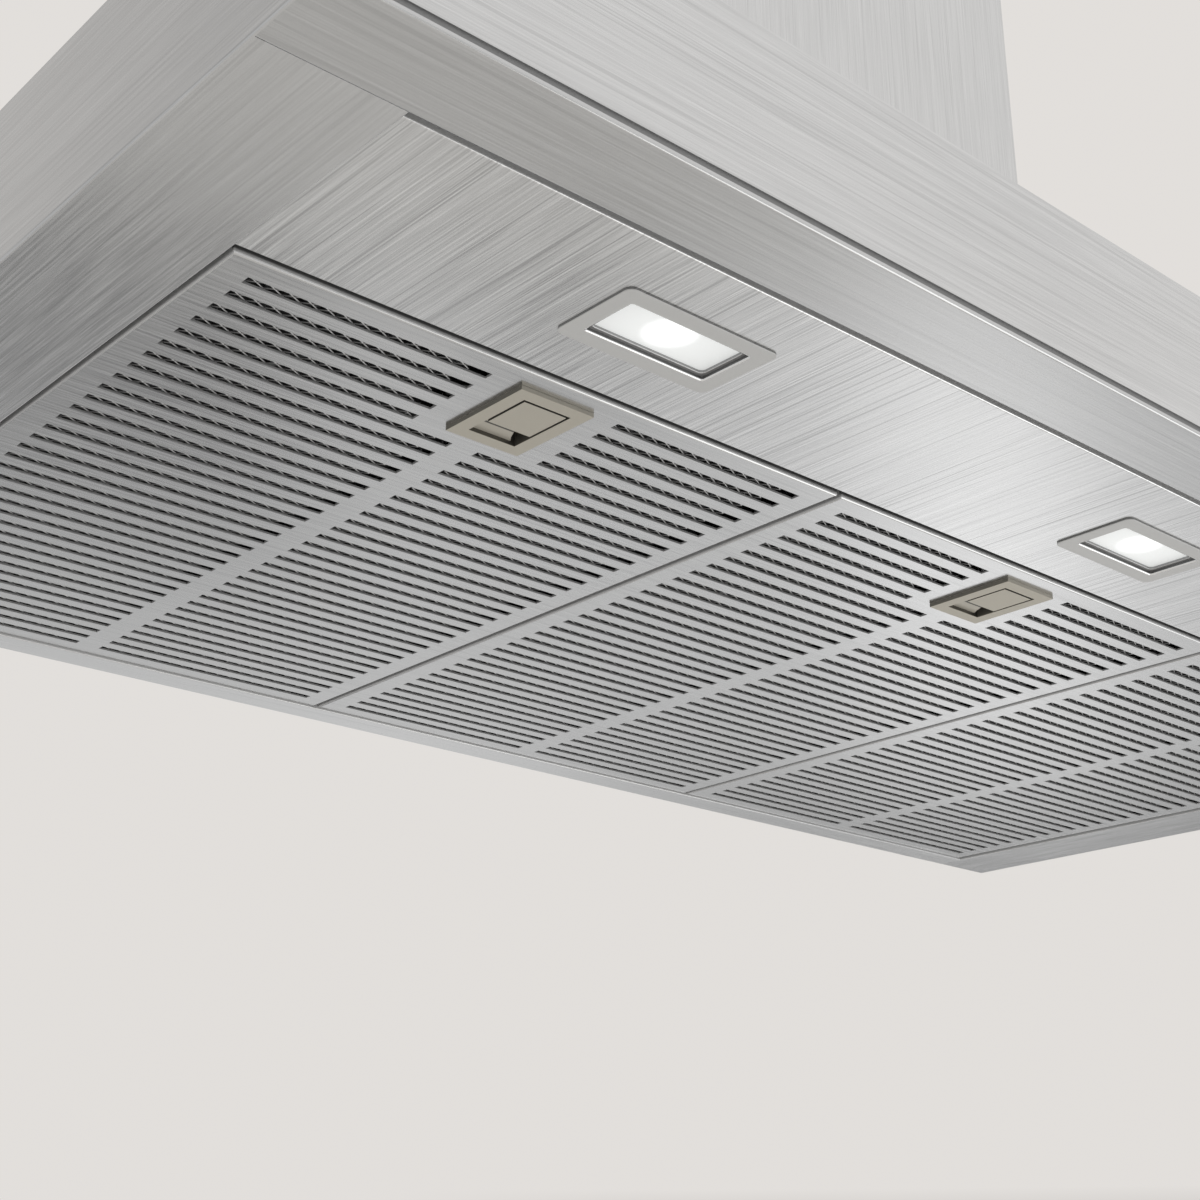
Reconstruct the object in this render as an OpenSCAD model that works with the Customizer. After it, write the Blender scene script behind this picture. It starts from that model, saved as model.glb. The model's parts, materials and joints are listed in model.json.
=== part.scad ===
// Wall mount range hood: box canopy with three slotted grease filters, three lamps,
// a double-inlet blower and a telescopic chimney. Sizes are in millimetres.
// The origin is on the wall plane, at the middle of the hood's width and level with
// the underside of the filters. +Z is up, +X to the right facing the wall, -Y to the front.

/* [Canopy] */
// Width over the side panels
hood_w = 898; // [840:2:960]
// Depth from the wall to the front of the fascia
hood_d = 499; // [480:1:540]
// Height of the canopy above the underside of the filters
canopy_h = 60; // [54:1:90]
// Thickness of the canopy's sheet steel
sheet_t = 1; // [0.8:0.1:1.2]
// Outer radius of the bends where the rims turn up round the filter bay
rim_bend_r = 0.4; // [0.2:0.1:0.8]
// How far the rims stand below the filters
rim_drop = 0.9; // [0.6:0.1:1.5]
// Width of each side rim
side_rim_w = 47; // [35:1:60]
// Width of the rear rim
rear_rim_w = 17; // [14:1:25]
// Width of the front rim
front_rim_w = 31.5; // [26:0.5:40]
// Height of the upstands that line the filter bay, above the filters' underside
bay_lining_h = 12; // [10:1:18]
// Width of the flanges that carry the top plate
top_flange_w = 14; // [12:1:20]
// Hole for each screw that hangs the hood on the wall
hanging_hole_d = 8; // [6:0.5:10]
// Distance between the two hanging holes
hanging_spacing = 240; // [160:10:400]
// Height of the hanging holes
hanging_z = 40; // [30:1:44]

/* [Fascia] */
// Thickness of the fascia plate
fascia_t = 1.5; // [1:0.1:2]
// Height of the fascia's lower edge above the front rim's underside
fascia_lift = 3.8; // [3:0.1:6]
// How far the seal under the fascia is set back
seal_recess = 0.7; // [0.3:0.1:0.8]
// Outer radius of the front rim's bend
front_bend_r = 0.9; // [0.4:0.1:1.2]
// Height of the front rim's lip, up to the seal
front_lip_h = 1.5; // [1.3:0.1:2]

/* [Light panel] */
// Depth of the light panel
light_panel_d = 83.6; // [70:0.1:100]
// Height of the light panel's underside
light_panel_lift = 1.3; // [1:0.1:2.5]
// Gap between the front rim and the light panel
rim_gap = 4.95; // [3:0.05:6]
// Outer radius of the light panel's bends
panel_bend_r = 0.7; // [0.4:0.1:1]
// Height of the ledge that the light panel's front upstand meets
ledge_lift = 6; // [5:0.5:9]
// How far the lamps stand to the right of the filters' middles
lamp_offset = 1.8; // [0:0.1:5]
// Width of a lamp's bezel
lamp_bezel_w = 66; // [60:0.5:80]
// Depth of a lamp's bezel
lamp_bezel_d = 36; // [34:0.5:44]
// Thickness of a lamp's bezel
lamp_bezel_t = 0.8; // [0.6:0.1:1.2]
// Corner radius of a lamp's bezel
lamp_bezel_r = 3; // [1:0.5:6]
// Width of a lamp's window
lamp_window_w = 52; // [44:0.5:56]
// Depth of a lamp's window
lamp_window_d = 22; // [16:0.5:26]
// How deep the lens lies in the bezel
lamp_recess = 2.7; // [2:0.1:4]
// Corner radius of the lens that shows in the window
lens_corner_r = 2; // [1:0.1:4]
// Height of a lamp's housing above the light panel
lamp_housing_h = 22; // [16:1:26]

/* [Filters] */
// Gap between filters, and between a filter and a side rim
filter_gap = 2.5; // [2:0.25:6]
// Gap between a filter and the rear rim
filter_rear_gap = 0.5; // [0.4:0.1:2]
// Gap between a filter and the light panel
filter_front_gap = 1.75; // [0.8:0.05:3]
// Thickness of a filter cassette
filter_h = 9; // [9:0.5:12]
// Thickness of the filter's sheet metal
filter_t = 0.8; // [0.6:0.1:1]
// Outer radius of a filter's folded edges
filter_edge_r = 0.9; // [0.5:0.1:1.5]
// Width of one slot
slot_w = 4; // [3:0.1:5]
// Distance from slot to slot
slot_pitch = 10.2; // [8:0.1:14]
// Plain margin at the filter's sides
slot_side_margin = 10.8; // [8:0.1:16]
// Plain bar between the two columns of slots
slot_bar = 11.4; // [8:0.2:20]
// Distance from the filter's front edge to the first row's middle
slot_front_margin = 11.5; // [10:0.1:16]
// Plain width round the latch
latch_clear_w = 56; // [48:1:70]
// Width of the mesh's diamonds
mesh_pitch_x = 24; // [22:1:30]
// Length of the mesh's diamonds
mesh_pitch_y = 28; // [26:1:36]
// Width of the mesh's strands
strand_w = 1.8; // [1.2:0.1:3]
// Length of the tabs that hook over the rear rim
tab_l = 8; // [6:0.5:12]

/* [Latches] */
// Width of a latch's bezel
latch_w = 32.3; // [30:0.1:38]
// Length of a latch's bezel
latch_l = 42.1; // [40:0.1:48]
// How far the latch stands below the filter
latch_proud = 1.7; // [1.5:0.1:3]
// Distance from the filter's front edge to the latch's bezel
latch_front_margin = 8.8; // [8:0.1:14]
// Width of the latch's window
latch_window_w = 20.7; // [18:0.1:24]
// Length of the latch's window
latch_window_l = 30.7; // [30:0.1:34]
// Length of the slider's face
slider_l = 20; // [18:0.5:22]
// Gap round the slider's face
slider_gap = 1; // [0.6:0.1:1.5]
// How far the slider draws back
latch_travel = 8; // [6:0.5:8]
// How far the tongue reaches past the filter
tongue_out = 5; // [3.5:0.5:6]
// Width of the tongue
tongue_w = 12; // [8:1:14]

/* [Controls] */
// Number of push buttons
button_n = 5; // [3:1:6]
// Distance from button to button
button_pitch = 22; // [20:1:30]
// Width of a button
button_w = 15; // [10:0.5:17]
// Height of a button
button_h = 8; // [6:0.5:12]
// How far a button stands out of the fascia
button_proud = 1; // [0.5:0.1:2]
// How far a button can be pushed
button_travel = 1.5; // [1:0.1:2]

/* [Blower] */
// Diameter of the impeller
impeller_d = 170; // [150:2:170]
// Width of the impeller
impeller_w = 112; // [90:2:112]
// Number of blades on each side of the impeller
blade_n = 36; // [24:1:44]
// Radial length of a blade
blade_l = 14; // [10:1:18]
// Largest radius of the scroll
scroll_r = 126; // [120:1:126]
// Inside width of the scroll
scroll_w = 122; // [118:2:140]
// Wall of the plastic scroll
scroll_t = 2; // [1.5:0.5:3]
// Depth of the blower box
box_d = 238; // [236:1:242]
// Height of the blower box
box_h = 272; // [268:1:300]
// Diameter of the motor
motor_d = 84; // [70:2:100]
// Diameter of the fan's shaft
shaft_d = 8; // [6:1:10]
// Outer diameter of the duct collar
collar_d = 149; // [120:1:149]
// Height of the duct collar
collar_h = 70; // [50:1:90]
// Wall of the duct collar
collar_t = 2; // [1.5:0.5:3]

/* [Chimney] */
// Width of the lower chimney
chimney_w = 320; // [280:2:360]
// Room between the blower box's flange and the chimney, on each side
chimney_room = 7; // [4:1:30]
// Room between the blower box's front and the lower chimney's front
chimney_front_room = 23; // [18:1:48]
// Height of the lower chimney
chimney_h = 568; // [480:2:700]
// Thickness of the chimney's sheet
chimney_t = 1; // [0.8:0.1:1.2]
// Running gap between the two chimneys
chimney_gap = 1; // [0.8:0.1:1.5]
// Number of vent slots on each side of the upper chimney
vent_n = 8; // [4:1:12]

/* [Hidden] */
$fn = 48;
e = 0.01;
// Clearance between pieces that seat on each other without touching
fit = 0.1;
// Clearance between pieces that move past each other
run = 0.3;

// There is one lamp and one filter at each place
SIDES = ["left", "centre", "right"];
function each_place(names) = [for (n = names) for (s = SIDES) str(n, "_", s)];
BUTTONS = [for (i = [1:button_n]) str("button_", i)];

steel = [0.74, 0.74, 0.73];
grey_steel = [0.62, 0.63, 0.63];
galvanised = [0.68, 0.70, 0.71];
mesh_grey = [0.55, 0.56, 0.56];
beige = [0.72, 0.70, 0.63];
dark_grey = [0.25, 0.25, 0.26];
black = [0.10, 0.10, 0.10];
pale_grey = [0.70, 0.70, 0.69];
white = [0.95, 0.96, 0.96];

// Canopy planes
side_x = hood_w / 2;
bay_x = side_x - side_rim_w;
y_front = -hood_d;
y_fascia_back = y_front + fascia_t;
y_rim_rear = y_front + front_rim_w;
y_panel_front = y_rim_rear + rim_gap;
y_panel_rear = y_panel_front + light_panel_d;
y_filter_front = y_panel_rear + filter_front_gap;
y_filter_rear = -rear_rim_w - filter_rear_gap;
z_rim = -rim_drop;
z_plate = canopy_h - sheet_t;
z_panel_top = light_panel_lift + sheet_t;
z_fascia = z_rim + fascia_lift;
z_seal = z_rim + front_lip_h;
z_ledge = ledge_lift;
y_lamp = (y_panel_front + y_panel_rear) / 2;

// Filters
filter_l = y_filter_rear - y_filter_front;
filter_w = (2 * bay_x - (len(SIDES) + 1) * filter_gap) / len(SIDES);
filter_pitch = filter_w + filter_gap;
slot_l = (filter_w - 2 * slot_side_margin - slot_bar) / 2;
slot_rows = floor((filter_l - 2 * slot_front_margin) / slot_pitch + 0.5) + 1;
z_back = filter_h - filter_t;
z_lip = z_back - run;
tab_w = 30;
tab_x = filter_w * 0.3;
window_n_x = 5;
window_n_y = 7;
window_rib = 8;

// Latches
y_latch_front = y_filter_front + latch_front_margin;
y_latch_rear = y_latch_front + latch_l;
y_latch = (y_latch_front + y_latch_rear) / 2;
y_window_front = y_latch - latch_window_l / 2;
y_window_rear = y_latch + latch_window_l / 2;
y_slider_front = y_window_front + slider_gap;
y_slider_rear = y_slider_front + slider_l;
slider_w = latch_window_w - 2 * slider_gap;
latch_wall = 1;
latch_body_w = latch_window_w + 6;
latch_body_front = y_window_front - 2;
latch_body_rear = y_window_rear + 2;
y_ledge = y_slider_rear - 0.5;
stem_w = 14;
y_stem_front = y_slider_front + 1;
y_stem_rear = y_ledge - latch_travel - 0.5;
tongue_z = z_panel_top + 1.7;
tongue_t = 2.4;
y_tongue = y_filter_front - tongue_out;
spring_x = -3.5;
spring_z = 4.4;
spring_d = 4.6;
spring_wire = 0.5;
spring_turns = 8;
spring_bore_d = 5.4;
y_spring_end = y_window_rear - 0.5;

// Blower and chimney, all stacked on the top plate
upper_w = chimney_w - 2 * (chimney_t + chimney_gap);
box_wall = 1;
box_flange = 8;
box_w = upper_w - 2 * (chimney_t + chimney_room + box_flange);
y_box_rear = -14;
y_box_front = y_box_rear - box_d;
y_chimney_front = y_box_front - chimney_front_room;
z_box_top = canopy_h + box_h;
duct_r = collar_d / 2;
y_fan = y_box_front + box_wall + fit + scroll_t + scroll_r;
z_fan = canopy_h + box_d / 2 + 2;
y_collar = y_fan - scroll_r + duct_r + 0.5;
impeller_r = impeller_d / 2;
scroll_gap = 8;
scroll_r0 = impeller_r + scroll_gap;
tongue_angle = 65;
scroll_sweep = 180 + tongue_angle;
scroll_outer_w = scroll_w + 2 * scroll_t;
inlet_r = impeller_r - blade_l;
shaft_r = shaft_d / 2;
motor_r = motor_d / 2;
inlet_lip = 5;
bracket_t = 3;
x_motor = -scroll_outer_w / 2 - inlet_lip - bracket_t;
motor_l = -x_motor - bracket_t - 14;
z_flap = z_box_top + 12;
flap_t = 1.5;
flap_r = duct_r - collar_t - 1;
flap_pin_r = 2;
knuckle_r = 4;
y_upper_front = y_chimney_front + chimney_t + chimney_gap;
y_upper_rear = -2;
z_chimney_top = canopy_h + chimney_h;
bracket_h = 26;
bracket_drop = 6;
bracket_reach = 28;
bracket_hole_x = upper_w / 4;

// Box between two corners
module block(lo, hi) translate(lo) cube(hi - lo);

// Rectangle between two corners
module rect(lo, hi) translate(lo) square(hi - lo);

// Quarter disc that rounds a bent corner, in the quadrant that q points to
module quarter(p, r, q) {
    translate(p) intersection() {
        circle(r);
        translate([q[0] < 0 ? -r : 0, q[1] < 0 ? -r : 0]) square(r);
    }
}

// Profile in Y and Z, drawn out along X about the middle
module along_x(length) rotate([90, 0, 90]) linear_extrude(length, center = true) children();

// Profile in X and Z, drawn out along Y
module along_y(y0, y1) translate([0, y1, 0]) rotate([90, 0, 0]) linear_extrude(y1 - y0) children();

// Rectangle with its two lower corners rounded
module tray_profile(lo, hi, r) {
    rect([lo[0] + r, lo[1]], [hi[0] - r, hi[1]]);
    rect([lo[0], lo[1] + r], [hi[0], hi[1]]);
    quarter([lo[0] + r, lo[1] + r], r, [-1, -1]);
    quarter([hi[0] - r, lo[1] + r], r, [1, -1]);
}

// Rectangle of the given size with four round corners
module round_rect(w, d, r) {
    square([w - 2 * r, d], center = true);
    square([w, d - 2 * r], center = true);
    for (x = [-1, 1], y = [-1, 1]) translate([x * (w / 2 - r), y * (d / 2 - r)]) circle(r);
}

// Pan-head screw whose head sits on z = 0 and whose shank points down
module pan_screw(head_d, shank_d, length) {
    difference() {
        cylinder(d = head_d, h = head_d * 0.32);
        for (a = [0, 90]) rotate(a) block([-head_d * 0.3, -0.5, head_d * 0.14], [head_d * 0.3, 0.5, head_d]);
    }
    translate([0, 0, -length]) cylinder(d = shank_d, h = length + e);
}

// Side panels: outer wall, bottom rim, bay lining and top flange

module side_profile() {
    t = sheet_t;
    r = rim_bend_r;
    rect([side_x - t, z_rim + t], [side_x, z_plate]);
    rect([bay_x + r, z_rim], [side_x - t, z_rim + t]);
    rect([bay_x, z_rim + r], [bay_x + t, bay_lining_h]);
    quarter([side_x - t, z_rim + t], t, [1, -1]);
    quarter([bay_x + r, z_rim + r], r, [-1, -1]);
    rect([side_x - top_flange_w, z_plate - t], [side_x - t, z_plate]);
}

module side_panel() {
    difference() {
        along_y(y_fascia_back, 0) side_profile();
        block([0, y_fascia_back - e, z_rim - e], [side_x - sheet_t, y_rim_rear, z_plate - sheet_t - e]);
        block([0, -sheet_t, z_rim + sheet_t], [side_x - sheet_t, e, canopy_h]);
        screw_holes();
    }
}

module side_panel_right() color(steel) side_panel();
module side_panel_left() color(steel) mirror([1, 0, 0]) side_panel();

// Rear rail: rim, lip that the filters hook over, and back wall with the hanging holes

module rear_rail() {
    t = sheet_t;
    r = rim_bend_r;
    color(steel) difference() {
        union() {
            along_x(2 * bay_x) {
                rect([-rear_rim_w + r, z_rim], [0, z_rim + t]);
                rect([-rear_rim_w, z_rim + r], [-rear_rim_w + t, z_lip]);
                quarter([-rear_rim_w + r, z_rim + r], r, [-1, -1]);
            }
            along_x(2 * (side_x - t)) {
                rect([-t, z_rim + t], [0, z_plate]);
                rect([-top_flange_w, z_plate - t], [-t, z_plate]);
            }
        }
        for (x = [-1, 1]) translate([x * hanging_spacing / 2, e, hanging_z])
            rotate([90, 0, 0]) cylinder(d = hanging_hole_d, h = t + 2 * e);
        for (x = [-1, 1]) block(
            [x * side_x - top_flange_w - e, -top_flange_w - e, z_plate - t - e],
            [x * side_x + top_flange_w + e, -t, z_plate + e]
        );
    }
}

// Front rim: lip under the seal, underside, upstand, and the ledge that carries the light panel

module front_rim() {
    t = sheet_t;
    f = front_bend_r;
    r = rim_bend_r;
    color(steel) {
        along_x(2 * (side_x - t)) {
            quarter([y_front + f, z_rim + f], f, [-1, -1]);
            rect([y_front, z_rim + f], [y_fascia_back + t, z_seal]);
            rect([y_front + f, z_rim], [y_rim_rear - r, z_rim + t]);
            rect([y_fascia_back, z_rim + f], [y_fascia_back + t, bay_lining_h + 4]);
            quarter([y_rim_rear - r, z_rim + r], r, [1, -1]);
            rect([y_rim_rear - t, z_rim + r], [y_rim_rear, z_ledge + t]);
        }
        along_x(2 * (bay_x - fit)) rect([y_rim_rear - t, z_ledge], [y_panel_front + 10, z_ledge + t]);
    }
}

module fascia_seal() {
    color(dark_grey) along_x(2 * (side_x - sheet_t))
        rect([y_front + seal_recess, z_seal], [y_fascia_back, z_fascia]);
}

// Front fascia with a round-cornered hole for each button

z_button = z_fascia + (canopy_h - z_fascia) / 2;
function button_x(i) = (i - (button_n + 1) / 2) * button_pitch;

module front_fascia() {
    color(steel) difference() {
        union() {
            block([-side_x, y_front, z_fascia], [side_x, y_fascia_back, canopy_h]);
            block([-side_x + sheet_t, y_fascia_back, z_plate - sheet_t],
                [side_x - sheet_t, y_fascia_back + top_flange_w, z_plate]);
        }
        for (i = [1:button_n]) translate([button_x(i), 0, z_button])
            along_y(y_front - e, y_fascia_back + e)
                round_rect(button_w + 2 * run, button_h + 2 * run, 1 + run);
        for (x = [-1, 1]) block([x * side_x - top_flange_w - 1, y_fascia_back, z_plate - 3 * sheet_t],
            [x * side_x + top_flange_w + 1, y_fascia_back + top_flange_w + 1, canopy_h - e]);
    }
}

// Light panel: folded up in front to meet the ledge, and behind to keep the filters' tongues

// A lamp stands in front of each filter, a little to the right of its middle
function place_x(i) = (i - (len(SIDES) - 1) / 2) * filter_pitch;
lamp_cut_w = lamp_window_w + 6;
lamp_cut_d = lamp_window_d + 6;

module light_panel() {
    t = sheet_t;
    r = panel_bend_r;
    color(steel) difference() {
        along_x(2 * (bay_x - 0.5)) {
            rect([y_panel_front + r, light_panel_lift], [y_panel_rear - r, z_panel_top]);
            quarter([y_panel_front + r, light_panel_lift + r], r, [-1, -1]);
            quarter([y_panel_rear - r, light_panel_lift + r], r, [1, -1]);
            rect([y_panel_front, light_panel_lift + r], [y_panel_front + t, z_ledge]);
            rect([y_panel_rear - t, light_panel_lift + r], [y_panel_rear, bay_lining_h]);
        }
        for (i = [0:len(SIDES) - 1]) translate([place_x(i), 0, 0]) {
            translate([lamp_offset, y_lamp, 0]) linear_extrude(canopy_h)
                round_rect(lamp_cut_w + 2 * fit, lamp_cut_d + 2 * fit, 2);
            block([-tongue_w / 2 - 1, y_panel_rear - 2 * t, tongue_z - run],
                [tongue_w / 2 + 1, y_panel_rear + 1, tongue_z + tongue_t + 1]);
        }
    }
}

// Top plate with the blower's opening

module screw_holes(d = 4) {
    for (x = [-1, 1], y = [0.12, 0.5, 0.88])
        translate([x * (side_x - top_flange_w / 2 - 1), y * y_front, z_plate - 3 * sheet_t])
            cylinder(d = d, h = 5 * sheet_t);
}

module blower_screw_places() {
    for (x = [-1, 1], y = [0.15, 0.5, 0.85])
        translate([x * (box_w + box_flange) / 2, y_box_rear - y * box_d, 0]) children();
}

module top_plate() {
    color(steel) difference() {
        block([-side_x, y_fascia_back, z_plate], [side_x, 0, canopy_h]);
        block([-box_w / 2 + 4, y_box_front + 4, z_plate - 1], [box_w / 2 - 4, y_box_rear - 4, canopy_h + 1]);
        screw_holes();
        blower_screw_places() translate([0, 0, z_plate - 1]) cylinder(d = 4, h = sheet_t + 2);
    }
}

module canopy_screws() {
    color(grey_steel) for (x = [-1, 1], y = [0.12, 0.5, 0.88])
        translate([x * (side_x - top_flange_w / 2 - 1), y * y_front, canopy_h])
            pan_screw(7, 3.9, 2 * sheet_t + 3);
}

// Lamps: bezel with its well, diffusing lens, and the housing behind

z_bezel = light_panel_lift - lamp_bezel_t;
z_lens = z_bezel + lamp_recess;
lens_t = 1.5;
lamp_lip = 1.2;
lamp_well_h = lamp_recess + lens_t + fit + 2;
z_lamp_housing = z_bezel + lamp_well_h;

module lamp_bezel() {
    color(pale_grey) difference() {
        union() {
            translate([0, 0, z_bezel]) linear_extrude(lamp_bezel_t)
                round_rect(lamp_bezel_w, lamp_bezel_d, lamp_bezel_r);
            translate([0, 0, z_bezel]) linear_extrude(lamp_well_h)
                round_rect(lamp_cut_w, lamp_cut_d, 2);
        }
        translate([0, 0, z_bezel - e]) linear_extrude(lamp_recess - 1)
            round_rect(lamp_window_w, lamp_window_d, 0.8);
        linear_extrude(canopy_h)
            round_rect(lamp_window_w - 2 * lamp_lip, lamp_window_d - 2 * lamp_lip, lens_corner_r);
        translate([0, 0, z_lens]) linear_extrude(canopy_h)
            round_rect(lamp_window_w + 2, lamp_window_d + 2, 1.5);
    }
}

module lamp_lens() {
    color(white) translate([0, 0, z_lens + fit]) linear_extrude(lens_t)
        round_rect(lamp_window_w + 2 - 2 * fit, lamp_window_d + 2 - 2 * fit, 1.4);
}

module lamp_housing() {
    wall = 1.5;
    color(white) difference() {
        union() {
            translate([0, 0, z_lamp_housing]) linear_extrude(lamp_housing_h)
                round_rect(lamp_cut_w, lamp_cut_d, 2);
            for (x = [-1.5:1:1.5]) translate([x * 12, 0, z_lamp_housing + lamp_housing_h])
                block([-1.5, -lamp_cut_d / 2 + 2, 0], [1.5, lamp_cut_d / 2 - 2, 3]);
        }
        translate([0, 0, z_lamp_housing - e]) linear_extrude(lamp_housing_h - wall)
            round_rect(lamp_cut_w - 2 * wall, lamp_cut_d - 2 * wall, 1);
    }
    color("gold") translate([0, 0, z_lamp_housing + lamp_housing_h - wall - 3]) cylinder(d = 14, h = 3);
}

// Filters: slotted cover, mesh core and windowed back with the rear tabs

function slot_y(k) = y_filter_front + slot_front_margin + k * slot_pitch;
function by_latch(k) = abs(slot_y(k) - y_latch) < latch_l / 2 + slot_w;

module slot_holes() {
    outer = filter_w / 2 - slot_side_margin;
    for (k = [0:slot_rows - 1], s = [-1, 1]) {
        inner = by_latch(k) ? latch_clear_w / 2 : slot_bar / 2;
        length = outer - inner;
        translate([s * (outer + inner) / 2, slot_y(k)]) square([length, slot_w], center = true);
    }
}

module filter_cover() {
    t = filter_t;
    half = filter_w / 2;
    color(steel) difference() {
        intersection() {
            along_x(filter_w + 2)
                tray_profile([y_filter_front, 0], [y_filter_rear, z_back], filter_edge_r);
            along_y(y_filter_front - 1, y_filter_rear + 1)
                tray_profile([-half, 0], [half, z_back], filter_edge_r);
        }
        block([-half + t, y_filter_front + t, t], [half - t, y_filter_rear - t, filter_h]);
        translate([0, 0, -1]) linear_extrude(t + 2) slot_holes();
        block([-latch_body_w / 2 - fit, latch_body_front - fit, -1],
            [latch_body_w / 2 + fit, latch_body_rear + fit, t + 1]);
        block([-tongue_w / 2 - 1, y_filter_front - 1, tongue_z - run],
            [tongue_w / 2 + 1, y_filter_front + 2, tongue_z + tongue_t + run]);
    }
}

module filter_mesh() {
    w = filter_w - 2 * filter_t - 2 * fit;
    l = filter_l - 2 * filter_t - 2 * fit;
    border = 5;
    cols = floor((w / 2 - border) / mesh_pitch_x - 0.5);
    rows = floor((l / 2 - border - mesh_pitch_y / 2) / (mesh_pitch_y / 2));
    dx = mesh_pitch_x / 2 - strand_w * 0.65;
    dy = mesh_pitch_y / 2 - strand_w * 0.75;
    color(mesh_grey) translate([0, 0, filter_t + fit]) linear_extrude(z_back - filter_t - 2 * fit)
        difference() {
            translate([0, (y_filter_front + y_filter_rear) / 2]) difference() {
                square([w, l], center = true);
                for (r = [-rows:rows], c = [-cols:cols]) {
                    x = (c + (abs(r) % 2) / 2) * mesh_pitch_x;
                    if (abs(x) + dx < w / 2 - border) translate([x, r * mesh_pitch_y / 2])
                        polygon([[-dx, 0], [0, -dy], [dx, 0], [0, dy]]);
                }
            }
            rect([-latch_body_w / 2 - fit, y_filter_front], [latch_body_w / 2 + fit, latch_body_rear + fit]);
        }
}

module filter_back() {
    w = filter_w;
    pitch_x = (w - window_rib) / window_n_x;
    pitch_y = (filter_l - window_rib) / window_n_y;
    color(galvanised) {
        difference() {
            block([-w / 2, y_filter_front, z_back], [w / 2, y_filter_rear, filter_h]);
            for (i = [0:window_n_x - 1], j = [0:window_n_y - 1])
                translate([-w / 2 + window_rib + i * pitch_x, y_filter_front + window_rib + j * pitch_y, z_back - 1])
                    cube([pitch_x - window_rib, pitch_y - window_rib, filter_t + 2]);
        }
        for (s = [-1, 1]) block(
            [s * tab_x - tab_w / 2, y_filter_rear - e, z_back],
            [s * tab_x + tab_w / 2, y_filter_rear + tab_l, filter_h]
        );
    }
}

// Latches: bezel with finger recess, slider with tongue, return spring

module latch_bezel() {
    half_w = latch_window_w / 2;
    top = z_back - fit;
    color(beige) difference() {
        union() {
            block([-latch_w / 2, y_latch_front, -latch_proud], [latch_w / 2, y_latch_rear, -e]);
            block([-latch_body_w / 2, latch_body_front, -1], [latch_body_w / 2, latch_body_rear, top]);
        }
        block([-half_w, y_window_front, -latch_proud - 1], [half_w, y_ledge, top - latch_wall]);
        block([-half_w, y_ledge - e, -latch_proud - 1], [half_w, y_window_rear, 0]);
        translate([0, 0, -1]) linear_extrude(5.5) polygon([
            [3.5, y_ledge - e], [half_w, y_ledge - e], [half_w, y_window_rear],
            [8.6, y_window_rear], [7, y_window_rear - 2.2], [4.6, y_ledge + 3]
        ]);
        translate([spring_x, y_spring_end, spring_z]) rotate([90, 0, 0])
            cylinder(d = spring_bore_d, h = y_spring_end - y_ledge + 1);
        block([-tongue_w / 2 - run, latch_body_front - 1, tongue_z - run],
            [tongue_w / 2 + run, y_window_front + 1, tongue_z + tongue_t + run]);
    }
}

module latch_slider() {
    face_t = latch_proud - run;
    chamfer = 1.4;
    color(beige) {
        difference() {
            block([-slider_w / 2, y_slider_front, -latch_proud], [slider_w / 2, y_slider_rear, -latch_proud + face_t]);
            translate([0, y_slider_rear, -latch_proud + face_t]) rotate([45, 0, 0])
                cube([slider_w + 2, 0.8, 0.8], center = true);
        }
        block([-stem_w / 2, y_stem_front, -run - e], [stem_w / 2, y_stem_rear, tongue_z + tongue_t]);
        along_x(tongue_w) polygon([
            [y_stem_front + e, tongue_z], [y_stem_front + e, tongue_z + tongue_t],
            [y_tongue, tongue_z + tongue_t], [y_tongue, tongue_z + chamfer], [y_tongue + chamfer, tongue_z]
        ]);
        translate([spring_x, y_stem_rear + 1.5, spring_z]) rotate([90, 0, 0]) cylinder(d = 2.6, h = 1.5 + e);
    }
}

// Closed rings of points joined into one tube
function ring_faces(rings, sides) = concat(
    [[for (k = [sides - 1:-1:0]) k]],
    [for (r = [0:rings - 2], k = [0:sides - 1]) each [
        [r * sides + k, r * sides + (k + 1) % sides, (r + 1) * sides + k],
        [r * sides + (k + 1) % sides, (r + 1) * sides + (k + 1) % sides, (r + 1) * sides + k]
    ]],
    [[for (k = [0:sides - 1]) (rings - 1) * sides + k]]
);

module latch_spring() {
    sides = 6;
    steps = 8 * spring_turns;
    coil_r = (spring_d - spring_wire) / 2;
    y0 = y_stem_rear + fit + spring_wire / 2;
    y1 = y_spring_end - fit - spring_wire / 2;
    points = [for (s = [0:steps], k = [0:sides - 1])
        let (a = 360 * s / 8, b = 360 * k / sides, r = coil_r + spring_wire / 2 * cos(b))
        [spring_x + r * cos(a), y0 + (y1 - y0) * s / steps + spring_wire / 2 * sin(b), spring_z + r * sin(a)]];
    color(grey_steel) polyhedron(points, ring_faces(steps + 1, sides));
}

// Controls: switch module behind the fascia, push buttons and electronics box

module_wall = 2;
module_d = 14;
y_flange = y_fascia_back + button_travel + 1;

module button_shape(grow) round_rect(button_w + 2 * grow, button_h + 2 * grow, 1 + max(grow, 0));

module control_module() {
    w = (button_n - 1) * button_pitch + button_w + 12;
    h = button_h + 10;
    color(black) translate([0, 0, z_button]) difference() {
        along_y(y_fascia_back, y_fascia_back + module_d) round_rect(w, h, 2);
        for (i = [1:button_n]) translate([button_x(i), 0, 0]) {
            along_y(y_fascia_back - e, y_fascia_back + module_d - module_wall) button_shape(run);
            along_y(y_fascia_back + 1, y_fascia_back + module_d - module_wall) button_shape(1 + run);
        }
    }
}

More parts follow.
